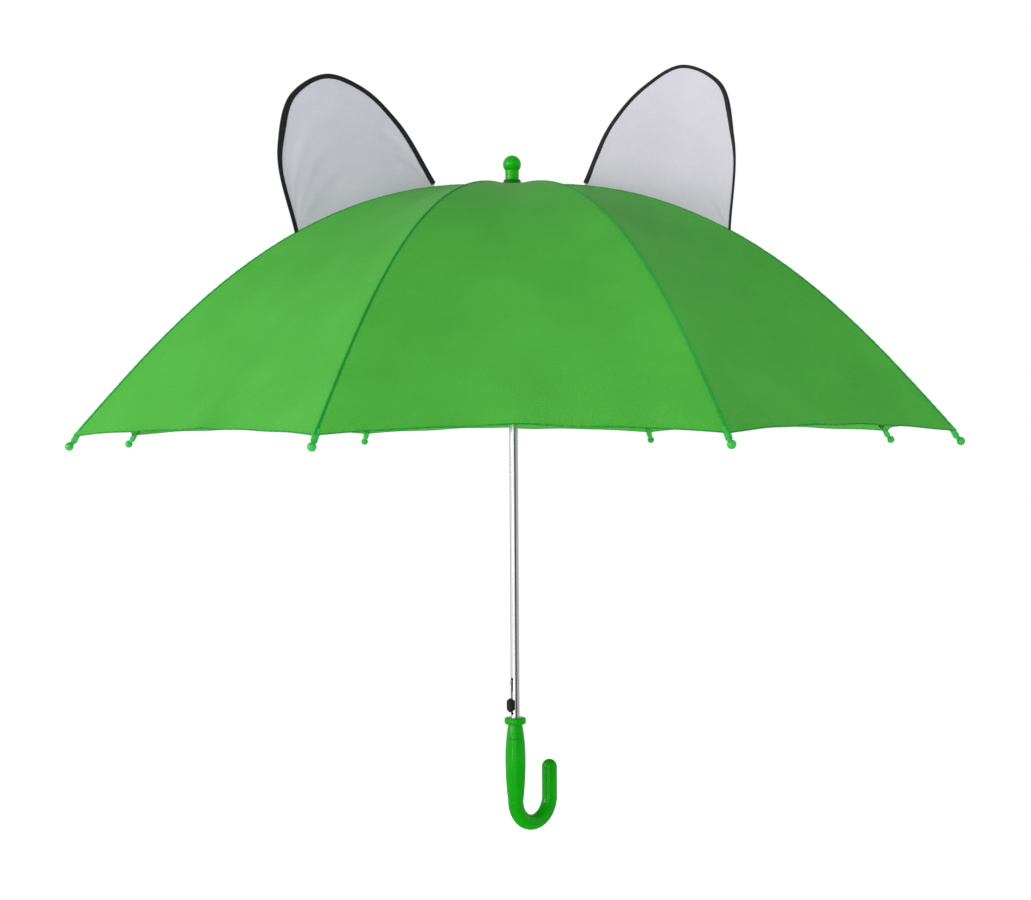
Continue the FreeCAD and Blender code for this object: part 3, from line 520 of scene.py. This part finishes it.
def make_binding(side, material):
    """The tape folded over the ear's wire: a flat rounded section, its width changing along the free edge."""
    number = EARS[side]["rib"]
    radius, height = ear_edge(side, 181)
    line = np.stack([radius, height], -1)
    step = np.gradient(line, axis=0)
    step = step / np.linalg.norm(step, axis=1)[:, None]
    inward = np.stack([step[:, 1], -step[:, 0]], -1)
    place, width = np.array(EARS[side]["binding"]).T
    half = np.interp(np.linspace(0, 1, len(line)), place, width)[:, None] * MM / 2
    angle = np.linspace(0, TURN, 21)[:-1][None, :]
    flat_in = np.sign(np.cos(angle)) * np.abs(np.cos(angle)) ** 0.7
    flat_out = np.sign(np.sin(angle)) * np.abs(np.sin(angle)) ** 0.8
    depth = half * (1 + flat_in)
    in_plane = line[:, None, :] + inward[:, None, :] * depth[..., None]
    across = flat_out * BINDING_THICKNESS / 2 + 0 * half
    points = ear_place(number, in_plane[..., 0], in_plane[..., 1], across)
    length = np.concatenate([[0], np.cumsum(np.linalg.norm(np.diff(line, axis=0), axis=1))])[:, None]
    uv = np.stack([depth, length + 0 * depth], -1)
    return swept(f"ear_binding_{side}", points[:, ::-1], material, uv[:, ::-1])


def make_strap(material):
    """A doubled band of the canopy's cloth on a back gore, its sides a little fuller than its middle."""
    station = np.linspace(STRAP_START, STRAP_START + STRAP_LENGTH, 61)[:, None]
    across = np.linspace(STRAP_EDGES[0], STRAP_EDGES[1], 21)[None, :]
    share = across / panel_width(station)
    station = np.broadcast_to(station, share.shape)
    from_middle = (across - sum(STRAP_EDGES) / 2) / (STRAP_EDGES[1] - STRAP_EDGES[0]) * 2
    edge = 0.25 * MM * np.abs(from_middle) ** 6 + 0.15 * MM * np.sin(TURN * station / (40 * MM))
    top = gore_point(STRAP_RIB, station, share, STRAP_LIFTS[1] + edge)
    under = gore_point(STRAP_RIB, station, share, STRAP_LIFTS[0] + edge * 0.5)
    uv = np.stack([across + 0 * station, station - STRAP_START], -1)
    return thin_sheet("closure_strap_cloth", top, under, material, uv)


def make_stud(material):
    """The strap's press stud: a turned cap with a rolled rim and a dished middle."""
    across = sum(STRAP_EDGES) / 2
    share = np.array([across / panel_width(STUD_STATION)])
    station = np.array([STUD_STATION])
    foot = gore_point(STRAP_RIB, station, share, STRAP_LIFTS[1])[0]
    square = gore_point(STRAP_RIB, station, share, STRAP_LIFTS[1] + 1 * MM)[0] - foot
    square /= np.linalg.norm(square)
    along = np.cross(square, [0, 0, 1.0])
    along /= np.linalg.norm(along)
    cross = np.cross(square, along)
    profile = np.array(STUD_PROFILE) * MM
    angle = np.linspace(0, TURN, 41)[:-1]
    ring = np.cos(angle)[:, None] * along + np.sin(angle)[:, None] * cross
    points = foot + profile[:, 0, None, None] * ring[None] + profile[:, 1, None, None] * square
    return swept("strap_stud", points[:, ::-1], material)


def make_spring(material):
    """The opening spring: a round wire on a helix of even pitch, with its last turn at each end drawn
    closer."""
    low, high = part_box("opening_spring")
    radius = (high[0] - low[0]) / 2 - SPRING_WIRE
    turns = np.linspace(0, 1, SPRING_TURNS * 36 + 1)
    rise = turns - 0.035 * np.sin(TURN * turns)
    angle = TURN * SPRING_TURNS * turns
    height = low[2] + SPRING_WIRE + (high[2] - low[2] - 2 * SPRING_WIRE) * rise
    around = np.linspace(0, TURN, 13)[:-1]
    out = radius + SPRING_WIRE * np.cos(around)[None, :]
    up = height[:, None] + SPRING_WIRE * np.sin(around)[None, :]
    points = np.stack([out * np.cos(angle)[:, None], out * np.sin(angle)[:, None], up], -1)
    return swept("spring_wire", points, material)


# ---------------------------------------------------------------- materials

WEAVE_DEPTH = 0.12 * MM
PUCKER_WAVE = 7.5 * MM
PUCKER_REACH = 11 * MM
STITCH_LENGTH = 2.6 * MM
THREAD_WIDTH = 0.4 * MM
# How far in from the hem's edge its painted shade reaches: full up to the first distance, none past the
# second.
PAINTED_FOLD_SHADE = (0.4 * MM, 1.4 * MM)


def new_material(name):
    """A material cleared to its principled shader: the tree and the shader."""
    made = bpy.data.materials.new(name)
    made.use_nodes = True
    return made, made.node_tree, made.node_tree.nodes["Principled BSDF"]


def noise(tree, place, scale, detail, roughness):
    """The grey value of a soft noise at a place."""
    inputs = {"Vector": place, "Scale": scale, "Detail": detail, "Roughness": roughness}
    return node(tree, "ShaderNodeTexNoise", inputs).outputs[0]


def bumped(tree, height, strength, distance):
    """A surface direction tilted by a height, whose full step is a distance."""
    inputs = {"Height": height, "Strength": strength, "Distance": distance}
    return node(tree, "ShaderNodeBump", inputs).outputs[0]


def woven_cloth(name, light, dark, thread, roughness, sheen, pucker=0.0, stitch=None, fold=None):
    """Plain-woven polyester, dyed in the piece, with a soft calendered face.

    Its threads cross as two sets of waves whose product lifts the surface; they are drawn many times coarser
    than the real 0.15 mm, or they would not show. Slow clouds of a second shade are uneven dye and handling.
    pucker draws short waves beside a seam at u = 0. stitch is the way it is measured, its distance and its
    colour: a line of thread at that distance from the edge. fold is the colour of a painted shade over the
    first millimetre of v, where the cloth turns back on itself and would lie in its own shade.
    """
    made, tree, shader = new_material(name)
    place = node(tree, "ShaderNodeUVMap", uv_map="cloth_metres").outputs[0]
    axes = node(tree, "ShaderNodeSeparateXYZ", {0: place})
    across, along = axes.outputs[0], axes.outputs[1]
    weft = maths(tree, "SINE", maths(tree, "MULTIPLY", across, TURN / thread))
    warp = maths(tree, "SINE", maths(tree, "MULTIPLY", along, TURN / thread))
    weave = maths(tree, "MULTIPLY", weft, warp)
    solid = node(tree, "ShaderNodeTexCoord").outputs["Object"]
    clouds = noise(tree, solid, 14.0, 3.0, 0.55)
    slubs = noise(tree, solid, 420.0, 2.0, 0.6)
    shade = maths(tree, "MULTIPLY_ADD", weave, 0.10, maths(tree, "MULTIPLY_ADD", slubs, 0.45, clouds))
    colour = mixed_colour(tree, mapped(tree, shade, 0.40, 1.05, 0.0, 1.0), rgba(dark), rgba(light))
    height = weave
    if pucker:
        waves = maths(tree, "MULTIPLY", along, TURN / PUCKER_WAVE)
        waves = maths(tree, "SINE", maths(tree, "MULTIPLY_ADD", clouds, 9.0, waves))
        beside = mapped(tree, maths(tree, "ABSOLUTE", across), 0.0, PUCKER_REACH, pucker, 0.0,
                        interpolation_type="SMOOTHSTEP")
        height = maths(tree, "MULTIPLY_ADD", waves, beside, weave)
    if stitch:
        measured_along, distance, thread_colour = stitch
        depth, run = (along, across) if measured_along == "along" else (across, along)
        line = maths(tree, "ABSOLUTE", maths(tree, "ADD", depth, -distance))
        line = mapped(tree, line, THREAD_WIDTH / 2, THREAD_WIDTH, 1.0, 0.0)
        dash = maths(tree, "SINE", maths(tree, "MULTIPLY", run, TURN / STITCH_LENGTH))
        sewn = maths(tree, "MULTIPLY", line, mapped(tree, dash, -0.5, 0.0, 0.0, 1.0))
        colour = mixed_colour(tree, sewn, colour, rgba(thread_colour))
        height = maths(tree, "MULTIPLY_ADD", sewn, 2.0, height)
    if fold:
        # Painted shade: the fold colour darkens the first millimetre of v, where the hem's cloth turns under.
        colour = mixed_colour(tree, mapped(tree, along, *PAINTED_FOLD_SHADE, 1.0, 0.0), colour, rgba(fold))
    tree.links.new(colour, shader.inputs["Base Color"])
    tree.links.new(bumped(tree, height, 0.35, WEAVE_DEPTH), shader.inputs["Normal"])
    shader.inputs["Roughness"].default_value = roughness
    shader.inputs["IOR"].default_value = 1.5
    shader.inputs["Specular IOR Level"].default_value = 0.2
    shader.inputs["Sheen Weight"].default_value = sheen
    shader.inputs["Sheen Roughness"].default_value = 0.45
    return made


def moulded_plastic(name, light, dark, roughness, gloss, grain, grain_height):
    """Injection-moulded plastic: its gloss or its spark-eroded grain comes off the mould, and its flow marks
    are faint."""
    made, tree, shader = new_material(name)
    solid = node(tree, "ShaderNodeTexCoord").outputs["Object"]
    pits = noise(tree, solid, 1.0 / grain, 3.0, 0.6)
    colour = mixed_colour(tree, noise(tree, solid, 60.0, 2.0, 0.5), rgba(dark), rgba(light))
    rough = mapped(tree, pits, 0.3, 0.7, roughness * 0.8, roughness * 1.3)
    tree.links.new(colour, shader.inputs["Base Color"])
    tree.links.new(rough, shader.inputs["Roughness"])
    tree.links.new(bumped(tree, pits, 0.4, grain_height), shader.inputs["Normal"])
    shader.inputs["IOR"].default_value = 1.49
    shader.inputs["Specular IOR Level"].default_value = gloss
    return made


def drawn_metal(name, light, dark, roughness, stretch, depth):
    """Metal with the fine lines of its drawing or rolling along z, and a slow change of brightness in its
    plating."""
    made, tree, shader = new_material(name)
    solid = node(tree, "ShaderNodeTexCoord").outputs["Object"]
    lines_at = node(tree, "ShaderNodeMapping", {"Vector": solid, "Scale": (1.0, 1.0, stretch)}).outputs[0]
    lines = noise(tree, lines_at, 2500.0, 2.0, 0.5)
    plating = noise(tree, solid, 90.0, 3.0, 0.6)
    colour = mixed_colour(tree, plating, rgba(dark), rgba(light))
    rough = mapped(tree, plating, 0.3, 0.7, roughness * 0.8, roughness * 1.25)
    tree.links.new(colour, shader.inputs["Base Color"])
    tree.links.new(rough, shader.inputs["Roughness"])
    tree.links.new(bumped(tree, lines, 0.2, depth), shader.inputs["Normal"])
    shader.inputs["Metallic"].default_value = 1.0
    return made


# Canopy: polyester pongee, woven and piece-dyed. Matt to the eye, with a faint nap at a glancing angle.
pongee = woven_cloth("woven_polyester_pongee", "#4cb03e", "#42a336", 1.8 * MM, 0.8, 0.05, pucker=1.6)
# Seams: the same cloth four layers deep and pulled tight by its thread, so it looks darker and denser.
# Its darker colour is also partly painted shade, standing in for the shade beside the raised fold.
seam_cloth = woven_cloth("felled_seam_pongee", "#22a03a", "#148a2a", 1.1 * MM, 0.8, 0.05,
                         stitch=("across", 0.7 * MM, "#128030"))
# Hem: the same cloth turned over twice, with one line of lockstitch, and a painted shade along its folded
# edge.
hem_cloth = woven_cloth("turned_hem_pongee", "#4bb03c", "#41a335", 1.1 * MM, 0.8, 0.05,
                        stitch=("along", 5.2 * MM, "#46a93a"), fold="#157d2a")
# Tip pockets: the seam's end, gathered round the tip and stretched thin, so it looks brighter than the seam.
gathered_cloth = woven_cloth("gathered_pongee", "#38b84a", "#27a53b", 1.1 * MM, 0.8, 0.05)
# Ears: bleached polyester taffeta, pulled over a wire, whose slight creases catch the light.
taffeta = woven_cloth("woven_polyester_taffeta", "#c9c6d2", "#bdbac7", 1.5 * MM, 0.7, 0.1)
# Ear edging: black woven bias tape, folded over the wire and stitched.
bias_tape = woven_cloth("black_bias_tape", "#242427", "#101012", 0.9 * MM, 0.6, 0.2,
                        stitch=("across", 1.4 * MM, "#050506"))
# Handle, finial and tips: polypropylene from a polished mould. Deep colour under a wet-looking skin.
green_gloss = moulded_plastic("polished_moulded_polypropylene", "#0c9708", "#078605", 0.12, 0.22,
                              2.0 * MM, 0.02 * MM)
# Rib tips: the same plastic in a lighter, thinner moulding.
tip_gloss = moulded_plastic("moulded_polypropylene_tip", "#34b548", "#249f38", 0.28, 0.4, 1.5 * MM, 0.02 * MM)
# Finial: the same plastic over nothing darker. Its lighter colour is painted light, standing in for the light
# that goes through it.
finial_gloss = moulded_plastic("polished_polypropylene_finial", "#1cb410", "#12a509", 0.12, 0.25,
                               2.0 * MM, 0.02 * MM)
# Crown cap: the same plastic in a darker shade.
dark_gloss = moulded_plastic("polished_dark_polypropylene", "#0e6a15", "#095a0e", 0.24, 0.3,
                             2.0 * MM, 0.02 * MM)
# Button, hub, notch and runner: acetal from a spark-eroded mould, with a fine dull grain.
black_grain = moulded_plastic("grained_moulded_acetal", "#0f0f10", "#060607", 0.42, 0.3, 0.5 * MM, 0.06 * MM)
# Shaft: steel tube, polished and chromed. It mirrors the room in long stripes.
chrome = drawn_metal("chromed_steel_tube", "#e6e7ea", "#d5d6d9", 0.09, 0.01, 0.004 * MM)
# Ribs, stretchers, struts and wires: zinc-plated steel strip, rolled to a channel. Grey with a soft sheen.
zinc = drawn_metal("zinc_plated_steel", "#c4c6c9", "#a3a6aa", 0.34, 0.05, 0.01 * MM)
# Press stud: nickel-plated brass, stamped.
nickel = drawn_metal("stamped_nickel_plate", "#cfcbc2", "#b3afa6", 0.22, 1.0, 0.005 * MM)


# ---------------------------------------------------------------- assembly

make_camera()
make_studio()
make_floor()

FINISHES = {
    "shaft_tube": chrome,
    "hook_handle": green_gloss,
    "handle_collar": green_gloss,
    "finial": finial_gloss,
    "crown_cap": dark_gloss,
    "push_button": black_grain,
    "top_notch": black_grain,
    "stretcher_hub": black_grain,
    "runner": black_grain,
    "rib_tip": tip_gloss,
}
for name, cad in frame["nodes"].items():
    finish = FINISHES.get(name) or FINISHES.get(name.rstrip("0123456789").rstrip("_"), zinc)
    cad.data.materials.clear()
    cad.data.materials.append(finish)


def join_to_rib(piece, number, squashed):
    """A piece rides on its rib, and what spans between ribs gets a mesh of its own."""
    if squashed:
        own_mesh(piece)
    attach(piece, f"arm_{number}")


for number in range(1, RIB_COUNT + 1):
    gore = make_gore(number, pongee)
    seam = make_seam(number, seam_cloth)
    hem = make_hem(number, hem_cloth)
    pocket = make_pocket(number, gathered_cloth)
    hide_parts(f"canopy_{number}")
    for piece in (gore, seam, hem):
        join_to_rib(piece, number, True)
    join_to_rib(pocket, number, False)

for side, ear in EARS.items():
    cloth = make_ear(side, taffeta)
    binding = make_binding(side, bias_tape)
    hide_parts(f"ear_{side}")
    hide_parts(f"ear_edging_{side}")
    join_to_rib(cloth, ear["rib"], False)
    join_to_rib(binding, ear["rib"], False)

strap = make_strap(pongee)
stud = make_stud(nickel)
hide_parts("closure_strap")
join_to_rib(strap, STRAP_RIB, True)
join_to_rib(stud, STRAP_RIB, True)

spring = make_spring(zinc)
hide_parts("opening_spring")
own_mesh(spring)
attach(spring, "hub")
